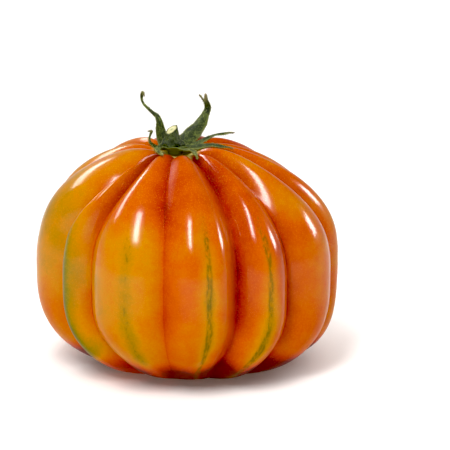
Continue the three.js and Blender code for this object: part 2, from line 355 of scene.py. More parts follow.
@dataclass(frozen=True)
class WaxySkin:
    """Tomato skin: a thin waxy cuticle over orange flesh, grown smooth.

    The wax gives small sharp highlights, the flesh below lets light through and softens the furrows' shadows,
    and the colour runs from leaf green where it ripens last to deep red, with painted shade darkening the
    furrows and the underside.
    """

    ior: float = 1.45
    roughness: float = 0.34
    specular: float = 0.05
    wax: float = 0.55
    wax_roughness: float = 0.15
    glow: float = 0.1
    glow_depth: tuple[float, float, float] = (1.0, 0.28, 0.06)
    glow_mm: float = 3.0
    ripening: dict[float, str] = field(
        default_factory=lambda: {
            0.0: "#4b5102",
            0.2: "#766902",
            0.42: "#b37200",
            0.62: "#b14f00",
            0.82: "#9a2d00",
            1.0: "#5c1000",
        }
    )
    # Each mottling's width in millimetres, detail, roughness and swing in ripeness: clouds, then grain.
    mottling: tuple[tuple[float, float, float, float], ...] = (
        (14.0, 3.0, 0.55, 0.52),
        (0.7, 2.0, 0.6, 0.18),
    )
    streak_colour: str = "#4a4a08"
    line_mm: float = 0.85  # half the width over which a green line fades out
    line_core_mm: float = 0.05  # half the width that it covers fully
    line_shifts: tuple[float, float] = (-0.25, 0.35)  # the green lines run in pairs, this far to each side
    line_cover: float = 0.66
    wander_mm: float = 1.4  # how far each line strays from side to side
    wander_pitch_mm: float = 5.0  # over this length
    break_mm: float = 0.9  # width of the flecks that the lines break into
    break_stretch: float = 0.3  # the flecks are long along the rib
    # Where a line starts and is whole, as the flecks' noise plus half the line's strength.
    break_range: tuple[float, float] = (0.84, 1.08)
    pore_colour: str = "#f0a850"
    pore_mm: float = 0.45  # spacing of the pale pores, drawn coarser than real ones so that they show
    pore_edge: tuple[float, float] = (0.3, 0.12)  # where a pore fades in, as a share of its cell
    pore_reach: tuple[float, float] = (12.0, 60.0)  # they thin out between these distances from the stem
    pore_cover: tuple[float, float] = (0.4, 0.14)  # and what they cover goes from this share to that
    # The corky ring is real, and its pale straw colour is also painted light that lifts the shade in the
    # hollow.
    cork_and_painted_light_colour: str = "#d8c878"
    cork_mm: tuple[float, float] = (7.5, 4.0)  # the corky ring round the stem fades in between these
    pit_mm: float = 2.2  # width of the skin's faint unevenness
    pit_depth_mm: float = 0.03
    pit_strength: float = 0.5

    def material(self) -> bpy.types.Material:
        """Builds the skin's material.

        Returns:
            The material.
        """
        settings = {
            "Roughness": self.roughness,
            "IOR": self.ior,
            "Specular IOR Level": self.specular,
            "Coat Roughness": self.wax_roughness,
            "Subsurface Weight": self.glow,
            "Subsurface Radius": self.glow_depth,
            "Subsurface Scale": self.glow_mm * MM,
        }
        material, tree, shader = new_material("waxy_tomato_skin", settings)
        place = add_node(tree, "TexCoord").outputs["Object"]
        read = {}
        for layer in Layer:
            read[layer] = add_node(tree, "Attribute", {"attribute_name": layer.value}).outputs["Fac"]
        ripe = read[Layer.RIPENESS]
        for width, detail, rough, swing in self.mottling:
            noise = {"Scale": 1 / (width * MM), "Detail": detail, "Roughness": rough}
            cloud = add_node(tree, "TexNoise", noise, {"Vector": place}).outputs["Fac"]
            centring = {"operation": "MULTIPLY_ADD", 1: swing, 2: -swing / 2}
            centred = add_node(tree, "Math", centring, {0: cloud}).outputs[0]
            ripe = add_node(tree, "Math", {"operation": "ADD"}, {0: ripe, 1: centred}).outputs[0]
        flesh = put_stops(add_node(tree, "ValToRGB", links={"Fac": ripe}), self.ripening)
        streaked = self._streaked(tree, place, flesh, read)
        pored = self._pored(tree, place, streaked, read)
        # Corky ring round the stem, its pale colour partly painted light in the shaded hollow.
        outer, inner = self.cork_mm
        ring = {"interpolation_type": "SMOOTHSTEP", "From Min": outer, "From Max": inner}
        corky = add_node(tree, "MapRange", ring, {"Value": read[Layer.POLE]}).outputs["Result"]
        cork = {"data_type": "RGBA", 7: linear(self.cork_and_painted_light_colour)}
        colour = add_node(tree, "Mix", cork, {0: corky, 6: pored}).outputs[2]
        pitting = {"Scale": 1 / (self.pit_mm * MM), "Detail": 2.0}
        pits = add_node(tree, "TexNoise", pitting, {"Vector": place}).outputs["Fac"]
        relief = {"Strength": self.pit_strength, "Distance": self.pit_depth_mm * MM}
        bump = add_node(tree, "Bump", relief, {"Height": pits}).outputs["Normal"]
        waxing = {"operation": "MULTIPLY", 1: self.wax}
        wax = add_node(tree, "Math", waxing, {0: read[Layer.GLOSS]}).outputs[0]
        link(tree, shader, {"Base Color": colour, "Coat Weight": wax, "Normal": bump, "Coat Normal": bump})
        return material

    def _streaked(
        self, tree: bpy.types.NodeTree, place: Socket, flesh: Socket, read: dict[Layer, Socket]
    ) -> Socket:
        """Adds the broken green lines along the ribs.

        Args:
            tree: The skin's node tree.
            place: Coordinates on the skin.
            flesh: The colour below.
            read: The skin's fields.

        Returns:
            The colour with the lines.
        """
        straying = {"Scale": 1 / (self.wander_pitch_mm * MM), "Detail": 2.0}
        wander = add_node(tree, "TexNoise", straying, {"Vector": place}).outputs["Color"]
        ways = add_node(tree, "SeparateColor", links={"Color": wander}).outputs
        stretch = {"Scale": (1.0, 1.0, self.break_stretch)}
        stretched = add_node(tree, "Mapping", stretch, {"Vector": place}).outputs["Vector"]
        flecks = {"Scale": 1 / (self.break_mm * MM), "Detail": 3.0, "Roughness": 0.65}
        broken = add_node(tree, "TexNoise", flecks, {"Vector": stretched}).outputs["Fac"]
        halving = {"operation": "MULTIPLY_ADD", 1: 0.5}
        present = add_node(tree, "Math", halving, {0: read[Layer.STREAK], 2: broken}).outputs[0]
        low, high = self.break_range
        breaking = {"interpolation_type": "SMOOTHSTEP", "From Min": low, "From Max": high}
        shown = add_node(tree, "MapRange", breaking, {"Value": present}).outputs["Result"]
        fading = {
            "interpolation_type": "SMOOTHSTEP",
            "From Min": self.line_mm,
            "From Max": self.line_core_mm,
        }
        line = read[Layer.LINE]
        masks = []
        for shift, way in zip(self.line_shifts, ways):
            drift = {"operation": "MULTIPLY_ADD", 1: self.wander_mm, 2: shift - self.wander_mm / 2}
            wandered = add_node(tree, "Math", drift, {0: way}).outputs[0]
            moved = add_node(tree, "Math", {"operation": "ADD"}, {0: line, 1: wandered}).outputs[0]
            apart = add_node(tree, "Math", {"operation": "ABSOLUTE"}, {0: moved}).outputs[0]
            masks.append(add_node(tree, "MapRange", fading, {"Value": apart}).outputs["Result"])
        pair = add_node(tree, "Math", {"operation": "MAXIMUM"}, dict(enumerate(masks))).outputs[0]
        share = add_node(tree, "Math", {"operation": "MULTIPLY"}, {0: pair, 1: shown}).outputs[0]
        eased = add_node(tree, "Math", {"operation": "MULTIPLY", 1: self.line_cover}, {0: share}).outputs[0]
        green = {"data_type": "RGBA", 7: linear(self.streak_colour)}
        return add_node(tree, "Mix", green, {0: eased, 6: flesh}).outputs[2]

    def _pored(
        self, tree: bpy.types.NodeTree, place: Socket, flesh: Socket, read: dict[Layer, Socket]
    ) -> Socket:
        """Adds the pale pores, thickest round the stem end.

        Args:
            tree: The skin's node tree.
            place: Coordinates on the skin.
            flesh: The colour below.
            read: The skin's fields.

        Returns:
            The colour with the pores.
        """
        pores = {"Scale": 1 / (self.pore_mm * MM)}
        cells = add_node(tree, "TexVoronoi", pores, {"Vector": place}).outputs["Distance"]
        outer, inner = self.pore_edge
        edge = {"interpolation_type": "SMOOTHSTEP", "From Min": outer, "From Max": inner}
        dot = add_node(tree, "MapRange", edge, {"Value": cells}).outputs["Result"]
        thinning = {
            "From Min": self.pore_reach[0],
            "From Max": self.pore_reach[1],
            "To Min": self.pore_cover[0],
            "To Max": self.pore_cover[1],
        }
        near = add_node(tree, "MapRange", thinning, {"Value": read[Layer.POLE]}).outputs["Result"]
        share = add_node(tree, "Math", {"operation": "MULTIPLY"}, {0: dot, 1: near}).outputs[0]
        pale = {"data_type": "RGBA", 7: linear(self.pore_colour)}
        return add_node(tree, "Mix", pale, {0: share, 6: flesh}).outputs[2]


@dataclass(frozen=True)
class HairyLeaf:
    """Tomato sepal: thin green leaf tissue under a coat of short hairs, grown rough.

    It is matt, its edges are paler, the cup's underside near the stem is painted pale as light that lifts
    the shade over the hollow, and its tips have dried to tan.
    """

    name: str = "hairy_tomato_leaf"
    ior: float = 1.42
    roughness: float = 0.7
    fuzz: float = 0.05
    fuzz_roughness: float = 0.4
    fuzz_colour: str = "#b4bc7c"
    blotch_mm: float = 2.0
    fibre_mm: float = 0.35
    fibre_share: float = 0.45
    relief_mm: float = 0.2
    greens: dict[float, str] = field(
        default_factory=lambda: {0.34: "#0a0f02", 0.5: "#27330b", 0.66: "#67732a"}
    )
    # Pales the blades' edges, and as painted light the cup's shaded underside.
    edge_colour: str = "#767c3c"
    edge_from: float = 0.75  # share of the way to the edge where it starts to pale
    edge_cover: float = 0.8
    dry_colour: str = "#94805a"
    dry_range: tuple[float, float] = (1.0, 1.3)  # where it dries, as the way along plus blotches
    dry_blotch: float = 0.4
    dry_cover: float = 0.9

    def material(self) -> bpy.types.Material:
        """Builds the leaf's material.

        Returns:
            The material.
        """
        settings = {
            "Roughness": self.roughness,
            "IOR": self.ior,
            "Sheen Weight": self.fuzz,
            "Sheen Roughness": self.fuzz_roughness,
            "Sheen Tint": linear(self.fuzz_colour),
        }
        material, tree, shader = new_material(self.name, settings)
        place = add_node(tree, "TexCoord").outputs["Object"]
        read = {}
        for layer in LeafLayer:
            read[layer] = add_node(tree, "Attribute", {"attribute_name": layer.value}).outputs["Fac"]
        blotching = {"Scale": 1 / (self.blotch_mm * MM), "Detail": 5.0, "Roughness": 0.65}
        blotch = add_node(tree, "TexNoise", blotching, {"Vector": place}).outputs["Fac"]
        fibres = {"Scale": 1 / (self.fibre_mm * MM), "Detail": 3.0}
        fibre = add_node(tree, "TexNoise", fibres, {"Vector": place}).outputs["Fac"]
        mixing = {"data_type": "FLOAT", 0: self.fibre_share}
        mixed = add_node(tree, "Mix", mixing, {2: blotch, 3: fibre}).outputs[0]
        green = put_stops(add_node(tree, "ValToRGB", links={"Fac": mixed}), self.greens)
        paling = {"From Min": self.edge_from, "From Max": 1.0, "To Max": self.edge_cover}
        rim = add_node(tree, "MapRange", paling, {"Value": read[LeafLayer.EDGE]}).outputs["Result"]
        pale = {"data_type": "RGBA", 7: linear(self.edge_colour)}
        rimmed = add_node(tree, "Mix", pale, {0: rim, 6: green}).outputs[2]
        reaching = {"operation": "MULTIPLY_ADD", 1: self.dry_blotch}
        reach = add_node(tree, "Math", reaching, {0: blotch, 2: read[LeafLayer.ALONG]}).outputs[0]
        drying = {
            "interpolation_type": "SMOOTHSTEP",
            "From Min": self.dry_range[0],
            "From Max": self.dry_range[1],
            "To Max": self.dry_cover,
        }
        dry = add_node(tree, "MapRange", drying, {"Value": reach}).outputs["Result"]
        tan = {"data_type": "RGBA", 7: linear(self.dry_colour)}
        colour = add_node(tree, "Mix", tan, {0: dry, 6: rimmed}).outputs[2]
        relief = {"Strength": 1.0, "Distance": self.relief_mm * MM}
        bump = add_node(tree, "Bump", relief, {"Height": mixed}).outputs["Normal"]
        link(tree, shader, {"Base Color": colour, "Normal": bump})
        return material


@dataclass(frozen=True)
class FineHair:
    """Plant hair: single clear cells that catch the light, so they look pale against the leaf."""

    ior: float = 1.4
    roughness: float = 0.45
    patch_mm: float = 1.5
    colours: dict[float, str] = field(default_factory=lambda: {0.3: "#56612a", 0.7: "#a5ab5c"})

    def material(self) -> bpy.types.Material:
        """Builds the hairs' material.

        Returns:
            The material.
        """
        settings = {"Roughness": self.roughness, "IOR": self.ior}
        material, tree, shader = new_material("clear_plant_hair", settings)
        place = add_node(tree, "TexCoord").outputs["Object"]
        patches = {"Scale": 1 / (self.patch_mm * MM)}
        varied = add_node(tree, "TexNoise", patches, {"Vector": place}).outputs["Fac"]
        colour = put_stops(add_node(tree, "ValToRGB", links={"Fac": varied}), self.colours)
        link(tree, shader, {"Base Color": colour})
        return material


@dataclass(frozen=True)
class CutPith:
    """Fresh-cut stem: pale watery pith round a greener core, sliced by a blade, so it is smooth and moist."""

    ior: float = 1.38
    roughness: float = 0.42
    cell_mm: float = 0.3
    cell_shift: tuple[float, float] = (0.22, -0.1)  # how far the cells move the rings' edges
    colours: dict[float, str] = field(
        default_factory=lambda: {
            0.0: "#6f7632",
            0.2: "#868a42",
            0.4: "#b5ae72",
            0.75: "#a39c5c",
            0.9: "#6c6c30",
        }
    )

    def material(self) -> bpy.types.Material:
        """Builds the cut face's material.

        Returns:
            The material.
        """
        settings = {"Roughness": self.roughness, "IOR": self.ior}
        material, tree, shader = new_material("cut_stem_pith", settings)
        place = add_node(tree, "TexCoord").outputs["Object"]
        edge = add_node(tree, "Attribute", {"attribute_name": LeafLayer.EDGE.value}).outputs["Fac"]
        grain = {"Scale": 1 / (self.cell_mm * MM)}
        cells = add_node(tree, "TexVoronoi", grain, {"Vector": place}).outputs["Distance"]
        shifting = {"operation": "MULTIPLY_ADD", 1: self.cell_shift[0], 2: self.cell_shift[1]}
        varied = add_node(tree, "Math", shifting, {0: cells}).outputs[0]
        across = add_node(tree, "Math", {"operation": "ADD"}, {0: edge, 1: varied}).outputs[0]
        colour = put_stops(add_node(tree, "ValToRGB", links={"Fac": across}), self.colours)
        link(tree, shader, {"Base Color": colour})
        return material


@dataclass(frozen=True)
class MattPaper:
    """White backdrop paper, matt, with a weak warm glow that keeps the shadow on it soft."""

    roughness: float = 0.9
    colour: str = "#f6f5f3"
    bounce: float = 0.12
    bounce_colour: str = "#f0cbb8"  # what the fruit throws back onto the paper

    def material(self) -> bpy.types.Material:
        """Builds the floor's material.

        Returns:
            The material.
        """
        settings = {
            "Roughness": self.roughness,
            "Base Color": linear(self.colour),
            "Emission Color": linear(self.bounce_colour),
            "Emission Strength": self.bounce,
        }
        return new_material("matt_white_paper", settings)[0]


@dataclass(frozen=True)
class Down:
    """The short hairs on one green part, each a three-sided needle.

    Attributes:
        length: Shortest and longest, in millimetres.
        radius: Radius at the root.
        spread: How far they lean from the surface's own direction.
        finish: What they are made of.
    """

    length: tuple[float, float]
    radius: float
    spread: float
    finish: FineHair = FineHair()

    def add_to(
        self, parts: MeshParts, slot: int, roots: Array, facing: Array, draw: np.random.Generator
    ) -> None:
        """Adds hairs that stand on given places, each leaning its own way.

        Args:
            parts: The mesh that takes them.
            slot: Place of their material in its list.
            roots: Where they stand, in millimetres.
            facing: The surface's outward directions there.
            draw: Where their lean and length come from.
        """
        directions = unit(facing + self.spread * draw.normal(size=facing.shape))
        lengths = draw.uniform(*self.length, len(roots))
        slanting = np.abs(directions[:, 2:]) < 0.8  # far enough from the vertical to be crossed with it
        helper = np.where(slanting, [[0.0, 0.0, 1.0]], [[1.0, 0.0, 0.0]])
        aside = unit(np.cross(directions, helper))
        other = np.cross(directions, aside)
        corners = []
        for turn in (0, math.tau / 3, 2 * math.tau / 3):
            corners.append(roots + self.radius * (math.cos(turn) * aside + math.sin(turn) * other))
        tips = roots + directions * lengths[:, None]
        points = np.stack([*corners, tips], axis=1).reshape(-1, 3)
        faces = []
        for first in range(0, len(points), 4):
            faces += [(first + side, first + (side + 1) % 3, first + 3) for side in range(3)]
        parts.add(points, faces, slot)


@dataclass(frozen=True)
class Rib:
    """One rib of the fruit, with the furrow before it.

    Attributes:
        swing: Azimuths of the furrow near the stem, at the middle and near the blossom end.
        depth: How far the furrow lies in, in millimetres.
        crease: Width over which the furrow's bottom is rounded.
        drop: How far the crest stays below the full radius in the same three zones.
        dent: Depth of the shallow groove along the crest.
        ripe: Ripeness of its upper, middle and lower part, from 0, green, to 1, red.
        streak: Strength of the green line along the rib.
        line: Where that line runs, as a share of the way from the crest to the next furrow.
        bloom: Distance from its furrow over which dull bloom gives way to gloss, in millimetres.
    """

    swing: tuple[float, float, float]
    depth: float
    crease: float
    drop: tuple[float, float, float] = (0.0, 0.0, 0.0)
    dent: float = 0.0
    ripe: tuple[float, float, float] = (0.6, 0.6, 0.6)
    streak: float = 0.5
    line: float = 0.0
    bloom: float = 1.5


RIBS = (
    Rib((-100, -99, -98), 5.4, 2.0, (0.8, -0.2, 0.2), 0.0, (0.46, 0.34, 0.5), 0.1),
    Rib((-40, -64, -59), 7.0, 1.6, (1.4, 1.4, 0.6), 0.0, (0.56, 0.33, 0.29), 0.75, -0.25),
    Rib((-34, -47, -31), 6.8, 1.8, (1.4, 0.0, 2.8), 0.0, (0.66, 0.46, 0.46), 0.66, 0.28),
    Rib((-7, -9, -9), 3.8, 1.5, (1.8, 0.3, 3.0), 1.3, (0.62, 0.56, 0.55), 1.0, 0.14, 7.0),
    Rib((26, 22, 11), 7.6, 1.8, (1.6, 1.2, 1.4), 0.0, (0.66, 0.71, 0.62), 1.0, -0.15),
    Rib((49, 47.5, 34), 6.4, 1.8, (-0.3, 0.3, 0.6), 0.0, (0.54, 0.55, 0.58), 0.0),
    Rib((72, 83, 66), 6.6, 2.0, (0.6, 0.2, -0.8), 0.0, (0.56, 0.54, 0.54), 0.8, 0.1),
    Rib((99, 105, 100), 5.8, 2.0, (1.4, 0.9, 0.6), 0.0, (0.56, 0.58, 0.6), 0.4),
    Rib((122, 125, 121), 6.2, 1.6, (0.1, 0.0, 0.6), 0.5, (0.6, 0.5, 0.5), 0.3),
    Rib((146, 145, 144), 4.2, 3.4, (0.6, 0.6, 1.0), 0.0, (0.62, 0.56, 0.52), 0.8, 0.1),
    Rib((168, 167, 168), 6.8, 1.8, (0.2, 0.2, 0.4), 0.0, (0.6, 0.64, 0.6), 0.2),
    Rib((188, 190, 188), 5.2, 2.4, (1.0, 1.0, 1.4), 0.0, (0.62, 0.56, 0.52), 0.8, -0.1),
    Rib((210, 213, 214), 6.6, 1.8, (0.3, 0.0, 0.4), 0.7, (0.46, 0.46, 0.56), 0.4),
    Rib((232, 236, 238), 5.6, 2.0, (2.0, 0.7, 0.8), 0.0, (0.4, 0.36, 0.5), 0.8),
)


@dataclass(frozen=True)
class SkinGrowth:
    """How the skin ripened, where painted shade darkens its furrows and underside, and where it shines.

    A stretch holds two shares of the way from the stem end to the blossom end: where something starts,
    and where it is whole.
    """

    upper: tuple[float, float] = (0.4, 0.18)  # stretch that has a rib's upper ripeness
    lower: tuple[float, float] = (0.42, 0.58)  # and the one with its lower ripeness
    furrow_shade_red: float = 0.25  # painted shade: what the furrows' ripeness is raised by, darkening them to a deeper red
    furrow_mm: float = 2.6  # distance from their bottom over which that fades
    furrow_stretch: tuple[float, float] = (0.82, 0.55)
    underside_shade_red: float = 0.6  # painted shade: what the underside's ripeness is raised by, darkening it towards the floor
    seat_stretch: tuple[float, float] = (0.68, 0.78)
    line_green: float = 0.27  # what the skin along a green line is less ripe by
    line_mm: float = 2.6  # distance from the line over which that fades
    line_stretch: tuple[float, float] = (0.26, 0.5)
    streak_top: tuple[float, float] = (0.18, 0.4)  # stretches between which a green line runs
    streak_end: tuple[float, float] = (0.97, 0.86)
    low_gloss: float = 0.3  # share of the gloss that the lower half keeps
    gloss_stretch: tuple[float, float] = (0.6, 0.44)
    gloss_end: tuple[float, float] = (0.85, 0.7)
    bloom_from: float = 0.2  # share of the bloom's width where gloss begins


@dataclass
class Fruit:
    """The ribbed fruit: the solid fruit's formula at a fine pitch, with the colours that its skin grew."""

    finish: WaxySkin = WaxySkin()
    growth: SkinGrowth = SkinGrowth()
    radius: float = 45.6
    top_height: float = 36.1
    base_height: float = 32.7
    top_fullness: float = 2.18
    base_fullness: float = 3.15
    hollow_depth: float = 5.0
    hollow_radius: float = 9.0
    base_trim: float = 0.5
    stem_lean: float = -3.0
    blossom_lean: float = 1.6
    lean_from: float = 0.2  # share of the way up or down where the lean starts
    rib_roundness: float = 0.5
    top_fade: float = 0.5
    base_fade: float = 4.0
    # Degrees from the stem end between which a rib's first value ends, its last value begins, and the groove
    # along its crest begins.
    top_zone: tuple[float, float] = (20.0, 75.0)
    base_zone: tuple[float, float] = (95.0, 150.0)
    dent_zone: tuple[float, float] = (45.0, 65.0)
    dent_at: float = 0.2  # where that groove runs, as a share of the way from the crest to the next furrow
    dent_width: float = 0.22
    # Each broad swelling: its share of the radius, its waves round the fruit, and their start in degrees.
    swells: tuple[tuple[float, int, float], ...] = ((0.012, 2, 80.0), (0.008, 3, 20.0))
    rib_steps: int = 32
    rows: int = 200
    row_crowding: float = 1.25
    pole_angle: float = 1e-6  # radians off the axis, so that the outline has a direction at its ends
    neck_radius: float = 2.2
    neck_bevel: float = 0.5
    # Where the calyx stands, once the skin is built.
    foot: Array = field(default_factory=lambda: np.zeros(3))

    def profile(self, angle: Array) -> tuple[Array, Array]:
        """Gives the crest's outline in a plane through the axis.

        Args:
            angle: Radians from the stem end.

        Returns:
            Radius and height, in millimetres.
        """
        above = angle < math.pi / 2
        power = 2 / np.where(above, self.top_fullness, self.base_fullness)
        height = np.where(above, self.top_height, self.base_height)
        radius = self.radius * np.maximum(np.sin(angle), 0) ** power
        cosine = np.cos(angle)
        hollow = np.where(above, self.hollow_depth * np.exp(-((radius / self.hollow_radius) ** 2)), 0)
        return radius, height * np.sign(cosine) * np.abs(cosine) ** power - hollow

    def profile_normal(self, angle: Array) -> tuple[Array, Array]:
        """Gives the outline's outward direction, by a small step to each side.

        Args:
            angle: Radians from the stem end.

        Returns:
            Its share outwards and its share upwards.
        """
        step = 1e-3
        r0, z0 = self.profile(np.maximum(angle - step, 0))
        r1, z1 = self.profile(np.minimum(angle + step, math.pi))
        length = np.hypot(r1 - r0, z1 - z0)
        return (z0 - z1) / length, (r1 - r0) / length

    def zoned(self, values: tuple[float, float, float], angle: Array) -> Array:
        """Blends a rib's three values along it.

        Args:
            values: What holds near the stem, at the middle and near the blossom end.
            angle: Radians from the stem end.

        Returns:
            The value at each angle.
        """
        top = 1 - smooth(angle, *np.radians(self.top_zone))
        base = smooth(angle, *np.radians(self.base_zone))
        return values[0] * top + values[1] * (1 - top - base) + values[2] * base

    def half_width(self, index: int) -> float:
        """Gives half the width of a rib at the fruit's widest, in millimetres."""
        turn = (RIBS[(index + 1) % len(RIBS)].swing[1] - RIBS[index].swing[1]) % 360
        return self.radius * math.radians(turn) / 2

    def skin(self, index: int, across: Array, angle: Array) -> Array:
        """Places points of the skin on one rib.

        Args:
            index: The rib.
            across: Share of the way across it, from -1 to 1.
            angle: Radians from the stem end.

        Returns:
            Points in millimetres, with z from the middle of the fruit.
        """
        rib, following = RIBS[index], RIBS[(index + 1) % len(RIBS)]
        wrap = 360 if index == len(RIBS) - 1 else 0
        start = self.zoned(rib.swing, angle)
        end = self.zoned(following.swing, angle) + wrap
        azimuth = np.radians(start + (end - start) * (across + 1) / 2)
        half = self.half_width(index)
        inside = (1 - np.abs(across)) * half
        crease = np.where(across < 0, rib.crease, following.crease)
        eased = inside**2 / (inside + crease) * (half + crease) / half
        side = 1 - eased / half
        arch = (1 - np.sqrt(1 - self.rib_roundness * side**2)) / (1 - math.sqrt(1 - self.rib_roundness))
        dent = rib.dent * smooth(angle, *np.radians(self.dent_zone))
        groove = np.exp(-(((across - self.dent_at) / self.dent_width) ** 2))
        drop = self.zoned(rib.drop, angle) + dent * groove
        depth = np.where(across < 0, rib.depth, following.depth)
        radius, height = self.profile(angle)
        outward, upward = self.profile_normal(angle)
        fade = (radius / self.radius) ** np.where(angle < math.pi / 2, self.top_fade, self.base_fade)
        inward = (drop + (depth - drop) * arch) * fade
        swell = 1.0
        for share, waves, begin in self.swells:
            swell = swell + share * np.cos(waves * azimuth - math.radians(begin))
        out = (radius - inward * outward) * swell
        z = height - inward * upward
        rise = z / self.top_height
        stem_lean = self.stem_lean * smooth(rise, self.lean_from, 1)
        blossom_lean = self.blossom_lean * smooth(-rise, self.lean_from, 1)
        x = out * np.sin(azimuth) + np.where(rise > 0, stem_lean, blossom_lean)
        floor = self.base_trim - self.base_height
        return np.stack([x, -out * np.cos(azimuth), np.maximum(z, floor)], axis=-1)

    def build(self) -> bpy.types.Object:
        """Builds the skin over the solid fruit, ready to render.

        Returns:
            The skin's object.
        """
        angles = math.pi * (np.arange(1, self.rows) / self.rows) ** self.row_crowding
        steps = np.sin(math.pi / 2 * (2 * np.arange(self.rib_steps) / self.rib_steps - 1))
        angle, across = np.meshgrid(angles, steps, indexing="ij")
        rings = np.concatenate([self.skin(i, across, angle) for i in range(len(RIBS))], axis=1)
        ends = (self.pole_angle, math.pi - self.pole_angle)
        top, bottom = (self.skin(0, np.zeros(1), np.array([end])) for end in ends)
        points = np.concatenate([top, rings.reshape(-1, 3), bottom])
        low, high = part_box("fruit")
        middle = (points.min(axis=0) + points.max(axis=0)) / 2
        seat = np.array([(low.x + high.x) / 2 / MM, (low.y + high.y) / 2 / MM, low.z / MM])
        shift = seat - np.array([middle[0], middle[1], points[:, 2].min()])
        points += shift
        self.foot = shift + self._hollow_foot()
        sides = len(RIBS) * self.rib_steps
        piece = new_piece("fruit_skin", points, lofted_faces(self.rows - 1, sides), self.finish.material())
        for layer, values in self.fields(angle, across).items():
            put_field(piece, layer, np.concatenate([values[:1, 0], values.ravel(), values[-1:, 0]]))
        return dress(piece, "skin", "fruit")

    def _hollow_foot(self) -> Array:
        """Gives the place where the calyx's neck stands in the hollow, from the middle of the fruit."""
        sunk = self.hollow_depth * math.exp(-((self.neck_radius / self.hollow_radius) ** 2))
        return np.array([self.stem_lean, 0, self.top_height - sunk - self.neck_bevel + GAP])

    def fields(self, angle: Array, across: Array) -> dict[Layer, Array]:
        """Works out the numbers that the skin's finish reads.

        Args:
            angle: Radians from the stem end of one rib's grid.
            across: Share of the way across a rib, on the same grid.

        Returns:
            One grid for each layer, rows by all ribs' columns.
        """
        grown = self.growth
        layers: dict[Layer, list[Array]] = {layer: [] for layer in Layer}
        share = angle / math.pi
        upper, lower = smooth(share, *grown.upper), smooth(share, *grown.lower)
        # Painted shade: raised ripeness darkens the underside towards the floor.
        seat = grown.underside_shade_red * smooth(share, *grown.seat_stretch)
        dulled = grown.low_gloss + (1 - grown.low_gloss) * smooth(share, *grown.gloss_stretch)
        shine = dulled * smooth(share, *grown.gloss_end)
        running = smooth(share, *grown.streak_top) * smooth(share, *grown.streak_end)
        for index, rib in enumerate(RIBS):
            following = RIBS[(index + 1) % len(RIBS)]
            girth = self.half_width(index) * np.sin(angle)
            furrow = (1 - np.abs(across)) * girth
            line = (across - rib.line) * girth
            crest = rib.ripe[0] * upper + rib.ripe[1] * (1 - upper - lower) + rib.ripe[2] * lower
            # Painted shade: ripeness raised towards each furrow's bottom darkens it to a deeper red.
            red = grown.furrow_shade_red * np.exp(-furrow / grown.furrow_mm) * smooth(share, *grown.furrow_stretch)
            beside = np.exp(-((line / grown.line_mm) ** 2))
            tint = grown.line_green * rib.streak * beside * smooth(share, *grown.line_stretch)
            layers[Layer.RIPENESS].append(crest + red + seat - tint)
            bloom = np.where(across < 0, rib.bloom, following.bloom)
            layers[Layer.GLOSS].append(smooth(furrow, grown.bloom_from * bloom, bloom) * shine)
            layers[Layer.STREAK].append(rib.streak * running)
            layers[Layer.LINE].append(line)
            layers[Layer.POLE].append(self.radius * angle)
        return {layer: np.concatenate(grids, axis=1) for layer, grids in layers.items()}


@dataclass(frozen=True)
class Sepal:
    """One sepal.

    Attributes:
        azimuth: Which way it grows from the receptacle.
        half: Half the width at the root, in millimetres.
        taper: Power of the narrowing towards the tip.
        fold: How steeply the blade's edges rise from its midrib.
        twist: Turns of the blade about its midrib at the root and at the tip, in degrees.
        path: The midrib from the roots' plane, as reach, sideways and rise in millimetres.
        tuft: How much wider on each side the blade gets again just before its tip.
    """

    azimuth: float
    half: float
    taper: float
    fold: float
    twist: tuple[float, float]
    path: tuple[tuple[float, float, float], ...]
    tuft: float = 0.0


SEPALS = (
    Sepal(-135, 2.7, 2.3, 0.45, (-45, -50), (
        (1.5, 0, 0), (4.6, 0, 0.3), (6.2, 0, 3.4), (6.8, 0, 6.4), (7.8, 0, 7.9), (9.9, 0, 8.8),
        (13.9, 0, 11.1), (14.4, 0, 12.8), (13.6, 0.3, 14.4), (12.5, 0.6, 13.2),
    ), 0.22),
    Sepal(-75, 2.0, 1.1, 0.5, (0, -20), (
        (1.5, 0, 0), (4.2, 0, 0), (5.5, 0, 0.2), (7.4, 0, 1.5), (7.7, 0, 2.9), (7.1, 0, 4.2),
        (6.9, 0, 4.9), (8.4, 0, 4.8),
    )),
    Sepal(-35, 1.3, 1.25, 0.4, (0, 15), (
        (1.5, -0.6, 0), (4.4, -1.8, 0.1), (7.0, -1.2, 0.5), (9.4, 0.4, 0.6), (11.3, 2.2, 0.5),
        (12.6, 4.2, 0.3), (14.0, 5.8, 0.2),
    )),
    Sepal(30, 1.5, 1.25, 0.4, (0, -15), (
        (1.5, 0, 0), (4.2, 0, 0), (6.5, 0, 0.2), (10.0, 0.2, 0.5), (13.0, -0.5, 0.4), (16.0, -1.6, 0.1),
        (18.2, -2.8, -0.5),
    )),
    Sepal(75, 2.4, 0.9, 0.45, (0, 10), (
        (1.5, 0, 0), (4.4, 0, 0.1), (8.8, 0, 0.9), (12.2, 0, 1.1), (15.6, 0, 0.6), (18.1, 0, 0),
    )),
    Sepal(108, 2.3, 0.9, 0.45, (0, -15), (
        (1.5, 0, 0), (4.4, 0, 0.2), (6.6, 0, 0.6), (10.1, 0, 2.0), (13.6, 0, 2.7), (17.0, 0, 2.9),
        (18.6, 0, 2.6),
    )),
    Sepal(138, 3.6, 1.0, 0.45, (25, 30), (
        (1.5, 0, 0), (4.0, 0, 0.6), (5.8, 0, 2.0), (10.8, 0, 5.1), (13.7, 0, 8.1), (14.3, 0, 9.4),
        (13.5, 0, 11.7), (13.4, 0, 13.8),
    )),
    Sepal(165, 1.6, 1.0, 0.5, (0, -25), (
        (1.5, 0, 0), (4.4, -0.4, 0.3), (9.0, -2.8, 2.3), (13.8, -5.0, 5.9), (14.4, -5.5, 8.9),
        (14.3, -5.2, 10.6), (13.4, -3.6, 13.0),
    )),
)


